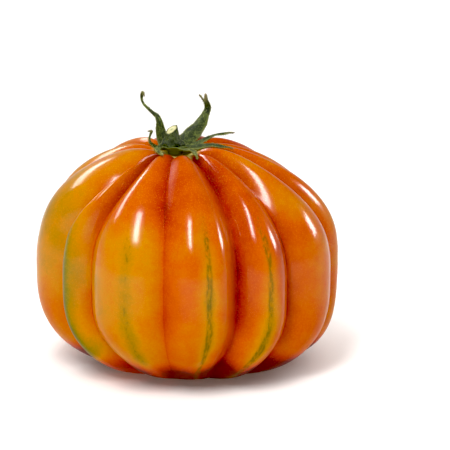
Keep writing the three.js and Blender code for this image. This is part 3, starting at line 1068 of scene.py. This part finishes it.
@dataclass
class Calyx:
    """The green star over the stem scar: a small cup on a neck, with its folded sepals and their hairs."""

    foot: Array
    leaf: HairyLeaf = HairyLeaf()
    down: Down = Down(length=(0.25, 0.7), radius=0.04, spread=0.45)
    offset: float = -0.8
    root_height: float = 2.8
    cup: tuple[tuple[float, float], ...] = (
        (2.2, 0.5), (2.3, 1.3), (3.3, 2.1), (4.2, 2.7), (4.6, 2.95), (4.4, 3.1), (3.2, 3.0), (1.4, 2.9),
    )
    cup_sides: int = 96
    cup_folds: int = 8
    fold_radii: tuple[float, float] = (2.2, 4.4)  # the folds grow between these
    fold_depth: float = 0.05  # of the cup's folds, as a share of its radius
    fold_rise: float = 0.16  # how far they rise and fall
    fold_lag: float = 0.6  # radians between a fold's highest and its widest place
    lobes: int = 3  # broad ones, on top of the folds
    lobe_depth: float = 0.03
    lobe_start: float = 1.0
    pale_radii: tuple[float, float] = (3.9, 4.6)  # the cup's upper side pales between these
    painted_light_lip: float = 0.05  # how far below the roots its underside starts, painted pale as light over the shaded hollow
    stations: int = 56
    section: int = 13  # points across one face of a blade
    edge_thickness: float = 0.22
    rib_thickness: float = 0.55
    rib_share: float = 0.3  # half the midrib's width, as a share of the blade's
    tip_thinning: float = 0.45
    tip_share: float = 0.07
    root_share: float = 0.8  # of the width, at the very root
    root_reach: float = 0.15  # share of the way along by which the blade has its full width
    tuft_at: float = 0.87  # share of the way along
    tuft_reach: float = 0.05  # how far a tuft reaches from there
    # Each unevenness of the width: its share of it, and its radians from root to tip.
    edge_waves: tuple[tuple[float, float], ...] = ((0.07, 13.0), (0.04, 29.0))
    # Each ripple of the blade: its depth, its radians from root to tip, and its power across the blade.
    ripples: tuple[tuple[float, float, int], ...] = ((0.16, 17.0, 2), (0.12, 11.0, 1))
    fold_reach: float = 0.3
    fold_power: float = 1.3
    twist_by: float = 0.22
    hairs_per_sepal: int = 650
    edge_hairs: float = 0.35  # share of the hairs that stand on the blade's edges
    seed: int = 7

    def midrib(self, sepal: Sepal) -> tuple[Array, Array, Array]:
        """Runs a sepal's midrib and turns its blade about it.

        Args:
            sepal: The sepal.

        Returns:
            Points along the midrib, and there the directions across the blade and out of its face.
        """
        turn = math.radians(sepal.azimuth)
        out = np.array([math.sin(turn), -math.cos(turn), 0.0])
        aside = np.array([math.cos(turn), math.sin(turn), 0.0])
        up = np.array([0.0, 0.0, 1.0])
        stops = np.array([reach * out + side * aside + rise * up for reach, side, rise in sepal.path])
        line = smooth_path(stops, self.stations)
        along = np.linspace(0, 1, self.stations)
        tangent = unit(np.gradient(line, axis=0))
        across = unit(aside - tangent * (tangent @ aside)[:, None])
        twist = np.radians(sepal.twist[0] + (sepal.twist[1] - sepal.twist[0]) * along)
        twist = (twist * smooth(along, 0, self.twist_by))[:, None]
        across = across * np.cos(twist) + np.cross(tangent, across) * np.sin(twist)
        return line, across, unit(np.cross(across, tangent))

    def blade(self, sepal: Sepal, draw: np.random.Generator) -> tuple[Array, Array, Array]:
        """Shapes one sepal's blade.

        Args:
            sepal: The sepal.
            draw: Where its small irregularities come from.

        Returns:
            Rings of points round the blade, the outward directions there, and the share along for each ring.
        """
        line, across, face = self.midrib(sepal)
        along = np.linspace(0, 1, self.stations)
        wave = draw.uniform(0, math.tau, 4)
        width = sepal.half * (self.tip_share + (1 - self.tip_share) * (1 - along) ** sepal.taper)
        width *= self.root_share + (1 - self.root_share) * smooth(along, 0, self.root_reach)
        width += sepal.tuft * np.exp(-(((along - self.tuft_at) / self.tuft_reach) ** 2))
        uneven = 1.0
        for (part, pitch), start in zip(self.edge_waves, wave[:2]):
            uneven = uneven + part * np.sin(pitch * along + start)
        width *= uneven
        raised = sepal.fold * smooth(along, 0, self.fold_reach) * width
        shares = self._section_shares()
        grid_share = shares[None, :, None]
        ripple = 0.0
        for (depth, pitch, power), start in zip(self.ripples, wave[2:]):
            ripple = ripple + depth * np.sin(pitch * along + start)[:, None, None] * grid_share**power
        spine = line[:, None, :] + across[:, None, :] * grid_share * width[:, None, None]
        folded = raised[:, None, None] * np.abs(grid_share) ** self.fold_power
        spine = spine + face[:, None, :] * (folded + ripple)
        rib = (self.rib_thickness - self.edge_thickness) * np.exp(-((shares / self.rib_share) ** 2))
        thin = self.edge_thickness + rib
        thick = thin[None, :, None] * (1 - self.tip_thinning * along)[:, None, None] / 2
        lift = face[:, None, :] * thick
        ring = np.concatenate([spine - lift, (spine + lift)[:, ::-1]], axis=1)
        lean = grid_share * across[:, None, :]
        facing = np.concatenate([lean - face[:, None, :], (lean + face[:, None, :])[:, ::-1]], axis=1)
        return ring, unit(facing), along

    def build(self) -> bpy.types.Object:
        """Builds the calyx over its solid, ready to render.

        Returns:
            The calyx's object.
        """
        draw = np.random.default_rng(self.seed)
        parts = MeshParts()
        self._add_cup(parts)
        for sepal in SEPALS:
            self._add_sepal(parts, sepal, draw)
        place = self.foot + np.array([self.offset, 0, self.root_height])
        parts.points = [group + place for group in parts.points]
        piece = parts.piece("calyx_star", [self.leaf.material(), self.down.finish.material()])
        return dress(piece, "sepals", "calyx")

    def _section_shares(self) -> Array:
        """Gives the places of the points across a blade, from -1 to 1, closest together at its edges."""
        return np.sin(np.linspace(-1, 1, self.section) * math.pi / 2)

    def _add_sepal(self, parts: MeshParts, sepal: Sepal, draw: np.random.Generator) -> None:
        """Adds one sepal and its hairs.

        Args:
            parts: The mesh that takes them.
            sepal: The sepal.
            draw: Where its small irregularities come from.
        """
        sides = 2 * self.section
        shares = np.abs(self._section_shares())
        rings, facing, along = self.blade(sepal, draw)
        points = np.concatenate([rings[:1].mean(axis=1), rings.reshape(-1, 3), rings[-1:].mean(axis=1)])
        grid_along = np.concatenate([[0], np.repeat(along, sides), [1]])
        round_blade = np.concatenate([shares, shares[::-1]])
        grid_edge = np.concatenate([[0], np.tile(round_blade, self.stations), [1]])
        parts.add(points, lofted_faces(self.stations, sides), 0, grid_along, grid_edge)
        row = draw.integers(2, self.stations - 1, self.hairs_per_sepal)
        side = draw.integers(0, sides, self.hairs_per_sepal)
        on_edge = draw.random(len(side)) < self.edge_hairs
        corners = draw.choice([0, self.section - 1, self.section, sides - 1], len(side))
        side = np.where(on_edge, corners, side)
        slide = draw.random((len(row), 1))
        roots = rings[row, side] * slide + rings[row - 1, side] * (1 - slide)
        self.down.add_to(parts, 1, roots, facing[row, side], draw)

    def _add_cup(self, parts: MeshParts) -> None:
        """Adds the folded cup that the sepals grow out of.

        Args:
            parts: The mesh that takes it.
        """
        turn = np.arange(self.cup_sides) * math.tau / self.cup_sides
        rings = []
        pale = []
        for radius, height in reversed(self.cup):
            rim = smooth(radius, *self.fold_radii)
            fold = 1 + self.fold_depth * rim * np.cos(self.cup_folds * turn)
            fold = fold + self.lobe_depth * rim * np.cos(self.lobes * turn + self.lobe_start)
            wave = self.fold_rise * rim * np.cos(self.cup_folds * turn + self.fold_lag)
            level = height - self.root_height + wave
            x, y = radius * fold * np.cos(turn), radius * fold * np.sin(turn)
            rings.append(np.stack([x, y, level], axis=1))
            # Painted light: below the roots the cup lies in shade over the hollow, and it is given the full
            # pale edge colour.
            under = height < self.root_height - self.painted_light_lip
            pale.append(1.0 if under else smooth(radius, *self.pale_radii))
        points = np.concatenate([rings[0].mean(axis=0)[None], *rings, rings[-1].mean(axis=0)[None]])
        edge = np.concatenate([[0], np.repeat(pale, self.cup_sides), [1]])
        parts.add(points, lofted_faces(len(self.cup), self.cup_sides), 0, edge=edge)


@dataclass
class StemStub:
    """The stub of the stem: ridged and hairy, cut off on the slant."""

    calyx_foot: Array
    bark: HairyLeaf = HairyLeaf(
        name="hairy_green_stem", greens={0.34: "#080d02", 0.5: "#202b09", 0.66: "#4c591c"}
    )
    pith: CutPith = CutPith()
    down: Down = Down(length=(0.2, 0.6), radius=0.035, spread=0.4)
    offset: float = -1.6
    rise: float = 3.3  # from the calyx's foot to the stub's
    rings: tuple[tuple[float, float, float], ...] = (
        (3.2, -0.8, 0.0), (3.4, -0.3, 0.0), (3.0, 0.5, 0.05), (2.5, 1.2, 0.1), (2.15, 2.2, 0.1),
        (1.85, 3.2, 0.2), (1.7, 4.0, 0.2),
    )
    cut: float = 36.0  # slant of the cut face in degrees
    cut_faces: float = -50.0  # azimuth that the cut face looks towards
    ridges: int = 7
    ridge_depth: float = 0.04  # as a share of the radius
    foot_depth: float = 0.06  # and what is added to it at the knotty foot
    ridge_twist: float = 2.5  # radians that the ridges wind from the foot to the cut
    wobble: float = 0.03  # depth of the broad unevenness, as a share of the radius
    wobble_twist: float = 6.0
    knot_pitch: float = 14.0  # radians of the knots' waves from the foot to the cut
    bend_pitch: float = 9.0  # and of the flattenings'
    sides: int = 70
    rows: int = 40
    lid_rings: tuple[float, ...] = (0.25, 0.5, 0.7, 0.84, 0.9)  # as shares of the bark's last ring
    lid_dome: float = 0.1  # how far its middle stands out
    lid_fall: float = 0.09  # and what is lost of that at the bark
    lid_under: float = 0.05  # how far its underside lies in
    hair_count: int = 600
    seed: int = 11

    def build(self) -> bpy.types.Object:
        """Builds the stub over its solid, ready to render.

        Returns:
            The stub's object.
        """
        draw = np.random.default_rng(self.seed)
        turn = np.arange(self.sides) * math.tau / self.sides
        grid = self._bark_grid(turn)
        place = self.calyx_foot + np.array([self.offset, 0, self.rise + GAP])
        parts = MeshParts()
        points = np.concatenate([grid[-1:].mean(axis=1), grid[::-1].reshape(-1, 3), grid[:1].mean(axis=1)])
        parts.add(points + place, lofted_faces(self.rows, self.sides), 0)
        self._add_cut(parts, grid[-1] + place)
        row = draw.integers(1, self.rows - 1, self.hair_count)
        side = draw.integers(0, self.sides, self.hair_count)
        facing = np.stack([np.cos(turn[side]), np.sin(turn[side]), np.zeros(len(side))], axis=1)
        self.down.add_to(parts, 2, grid[row, side] + place, facing, draw)
        finishes = [self.bark.material(), self.pith.material(), self.down.finish.material()]
        return dress(parts.piece("stem_stub", finishes), "stem", "stem")

    def _bark_grid(self, turn: Array) -> Array:
        """Shapes the bark from the foot up to the slanting cut.

        Args:
            turn: Radians round the stub.

        Returns:
            Rings of points from the stub's foot.
        """
        stops = np.array(self.rings)
        heights = np.linspace(stops[0, 1], stops[-1, 1], self.rows)
        radius = np.interp(heights, stops[:, 1], stops[:, 0])[:, None]
        lean = np.interp(heights, stops[:, 1], stops[:, 2])[:, None]
        share = ((heights - heights[0]) / (heights[-1] - heights[0]))[:, None]
        deep = self.ridge_depth + self.foot_depth * (1 - share) ** 2
        # Whole numbers before turn count the waves round the stub, and those after a plus start them.
        ridge = 1 + deep * np.cos(self.ridges * turn + self.ridge_twist * share)
        ridge = ridge + self.wobble * np.cos(3 * turn + self.wobble_twist * share)
        ridge = ridge + deep * np.sin(self.knot_pitch * share + 1) * np.cos(5 * turn + 2)
        ridge = ridge + self.wobble * np.sin(self.bend_pitch * share) * np.cos(2 * turn)
        x, y = radius * ridge * np.cos(turn), radius * ridge * np.sin(turn)
        facing = self._cut_normal()
        slant = (x * facing[0] + y * facing[1]) / facing[2] * share**3
        return np.stack([x - lean, y, heights[:, None] - slant], axis=-1)

    def _cut_normal(self) -> Array:
        """Gives the direction that the cut face looks in."""
        slant, turn = math.radians(self.cut), math.radians(self.cut_faces)
        level = math.sin(slant)
        return np.array([level * math.sin(turn), -level * math.cos(turn), math.cos(slant)])

    def _add_cut(self, parts: MeshParts, rim: Array) -> None:
        """Adds the pale cut face, a thin slightly domed lid just inside the bark.

        Args:
            parts: The mesh that takes it.
            rim: The bark's last ring.
        """
        middle = rim.mean(axis=0)
        normal = self._cut_normal()
        last = self.lid_rings[-1]
        rings = []
        for share in self.lid_rings:
            dome = self.lid_dome - self.lid_fall * share * share
            rings.append(middle + (rim - middle) * share + normal * dome)
        rings.append(middle + (rim - middle) * last - normal * self.lid_under)
        top, bottom = middle + normal * self.lid_dome, middle - normal * self.lid_under
        points = np.concatenate([[top], *rings, [bottom]])
        edge = np.concatenate([[0.0], np.repeat([*self.lid_rings, last], len(rim)), [last]])
        parts.add(points, lofted_faces(len(rings), len(rim)), 1, edge=edge)


@dataclass(frozen=True)
class Softbox:
    """One soft light, aimed at the fruit.

    Attributes:
        name: The light's name.
        azimuth: Where it stands round the fruit.
        height: How far above level it stands, in degrees.
        size: Its width and length, in millimetres.
        watts: Its power.
        distance: How far off it stands, in millimetres.
        lights_surfaces: False for a card that is only seen as a reflection.
    """

    name: str
    azimuth: float
    height: float
    size: tuple[float, float]
    watts: float
    distance: float = 800.0
    lights_surfaces: bool = True

    def hang(self, target: Vector) -> bpy.types.Object:
        """Hangs the light in its place.

        Args:
            target: What it faces, in metres.

        Returns:
            The light's object.
        """
        light = bpy.data.lights.new(self.name, "AREA")
        light.shape = "RECTANGLE"
        light.size, light.size_y = (side * MM for side in self.size)
        light.energy = self.watts
        lamp = bpy.data.objects.new(self.name, light)
        bpy.context.scene.collection.objects.link(lamp)
        turn, rise = math.radians(self.azimuth), math.radians(self.height)
        away = Vector((math.sin(turn) * math.cos(rise), -math.cos(turn) * math.cos(rise), math.sin(rise)))
        lamp.location = target + away * self.distance * MM
        lamp.rotation_euler = away.to_track_quat("Z", "Y").to_euler()
        lamp.visible_diffuse = self.lights_surfaces
        return lamp


@dataclass
class Studio:
    """The white tabletop studio: floor, soft light and camera."""

    finish: MattPaper = MattPaper()
    floor_side: float = 6000.0
    camera_height: float = 14.0  # degrees above level
    camera_distance: float = 750.0
    camera_reach: float = 20000.0
    frame_width: float = 135.0  # what the frame spans at the fruit
    sensor: float = 36.0
    axis_px: tuple[float, float] = (188.0, 256.5)  # the middle of the fruit's axis in the photograph
    middle_height: float = 32.2  # of that point above the floor
    softboxes: tuple[Softbox, ...] = (
        Softbox("key_softbox", -18, 50, (170, 520), 4.5),
        Softbox("left_card", -129, 39, (620, 160), 4.4, lights_surfaces=False),
        Softbox("right_card", 99, 23, (230, 200), 4.4, lights_surfaces=False),
        Softbox("key_core", -18, 50, (120, 440), 3.2, distance=780, lights_surfaces=False),
    )
    surround: float = 0.2  # strength of the white room overhead
    horizon: float = 0.72  # and at the height of the table, where the paper curves up
    surround_range: tuple[float, float] = (-0.1, 0.75)  # sines of the angles above level between the two
    ceiling: float = 2.5  # irradiance from the white ceiling, in watts a square metre
    ceiling_spread: float = 110.0
    black_point: float = 0.024

    def build(self) -> None:
        """Builds the floor, the lights and the camera, and sets how the picture is developed."""
        half = self.floor_side / 2
        corners = np.array([(-half, -half, 0), (half, -half, 0), (half, half, 0), (-half, half, 0)])
        new_piece("paper_floor", corners, [(0, 1, 2, 3)], self.finish.material())
        self._surround()
        self._ceiling()
        for softbox in self.softboxes:
            softbox.hang(Vector((0, 0, self.middle_height * MM)))
        self._camera()
        self._develop()

    def _develop(self) -> None:
        """Sets a plain view and deepens the shadows, as the photograph was developed."""
        settings = bpy.context.scene.view_settings
        settings.view_transform = "Standard"
        settings.look = "None"
        settings.use_curve_mapping = True
        curve = settings.curve_mapping
        curve.black_level = (self.black_point,) * 3
        curve.update()

    def _surround(self) -> None:
        """Adds the white surround, brighter towards the table."""
        world = bpy.data.worlds.new("white_surround")
        world.use_nodes = True
        tree = world.node_tree
        background = tree.nodes["Background"]
        background.inputs["Color"].default_value = linear("#ffffff")
        direction = add_node(tree, "TexCoord").outputs["Generated"]
        height = add_node(tree, "SeparateXYZ", links={"Vector": direction}).outputs["Z"]
        fall = {
            "interpolation_type": "SMOOTHERSTEP",
            "From Min": self.surround_range[0],
            "From Max": self.surround_range[1],
            "To Min": self.horizon,
            "To Max": self.surround,
        }
        strength = add_node(tree, "MapRange", fall, {"Value": height}).outputs["Result"]
        link(tree, background, {"Strength": strength})
        bpy.context.scene.world = world

    def _ceiling(self) -> None:
        """Adds the white ceiling, which lights the fruit and doesn't show in its gloss."""
        light = bpy.data.lights.new("white_ceiling", "SUN")
        light.energy = self.ceiling
        light.angle = math.radians(self.ceiling_spread)
        lamp = bpy.data.objects.new("white_ceiling", light)
        lamp.visible_glossy = False
        bpy.context.scene.collection.objects.link(lamp)

    def _camera(self) -> None:
        """Adds the camera where the photograph was taken from."""
        height = math.radians(self.camera_height)
        forward = Vector((0, math.cos(height), -math.sin(height)))
        right = Vector((1, 0, 0))
        up = right.cross(forward)
        px = self.frame_width / PHOTO_SIDE * MM
        centre = PHOTO_SIDE / 2
        low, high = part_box("fruit")
        middle = Vector(((low.x + high.x) / 2, (low.y + high.y) / 2, self.middle_height * MM))
        target = middle + right * (centre - self.axis_px[0]) * px + up * (self.axis_px[1] - centre) * px
        camera = bpy.data.cameras.new("photo_camera")
        camera.sensor_width = self.sensor
        camera.lens = self.sensor * self.camera_distance / self.frame_width
        camera.clip_end = self.camera_reach * MM
        eye = bpy.data.objects.new("photo_camera", camera)
        eye.location = target - forward * self.camera_distance * MM
        eye.rotation_euler = (-forward).to_track_quat("Z", "Y").to_euler()
        bpy.context.scene.collection.objects.link(eye)
        bpy.context.scene.camera = eye


def main() -> None:
    """Builds the tomato and its studio."""
    logging.basicConfig(level=logging.INFO, format="%(name)s: %(message)s")
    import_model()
    Studio().build()
    fruit = Fruit()
    fruit.build()
    Calyx(fruit.foot).build()
    StemStub(fruit.foot).build()


if __name__ == "__main__":
    main()
